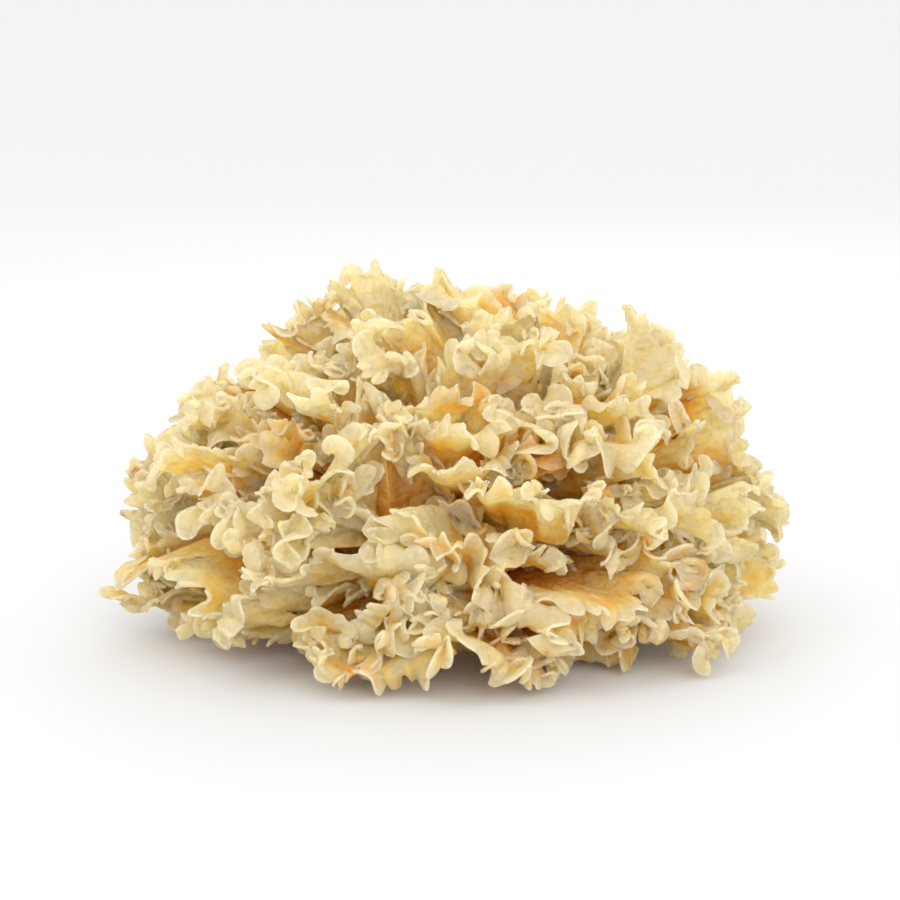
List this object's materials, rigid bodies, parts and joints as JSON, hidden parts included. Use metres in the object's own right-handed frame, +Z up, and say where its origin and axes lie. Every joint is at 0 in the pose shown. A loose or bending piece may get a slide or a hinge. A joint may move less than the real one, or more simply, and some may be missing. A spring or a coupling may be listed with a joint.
{
  "type": "dried snow fungus head",
  "caption": "Dried snow fungus head: a low dome of thin, curled and frilled pale yellow lobes that grow from one hard foot, cut off flat below so that it stands on the cut.",
  "frame": {"origin": "middle of the flat cut face under the foot, where the head was cut from what it grew on", "axes": "+Z up through the crown of the head, +X along its longest way across, and -Y towards the side seen in the picture"},
  "size_m": [0.1144, 0.1017, 0.0617],
  "materials": {
    "dried_fungus": "thin dried jelly lobes, pale straw yellow with cream edges and amber hollows, faintly waxy"
  },
  "bodies": {
    "root": {"fruiting_body": "dried_fungus"}
  },
  "joints": []
}
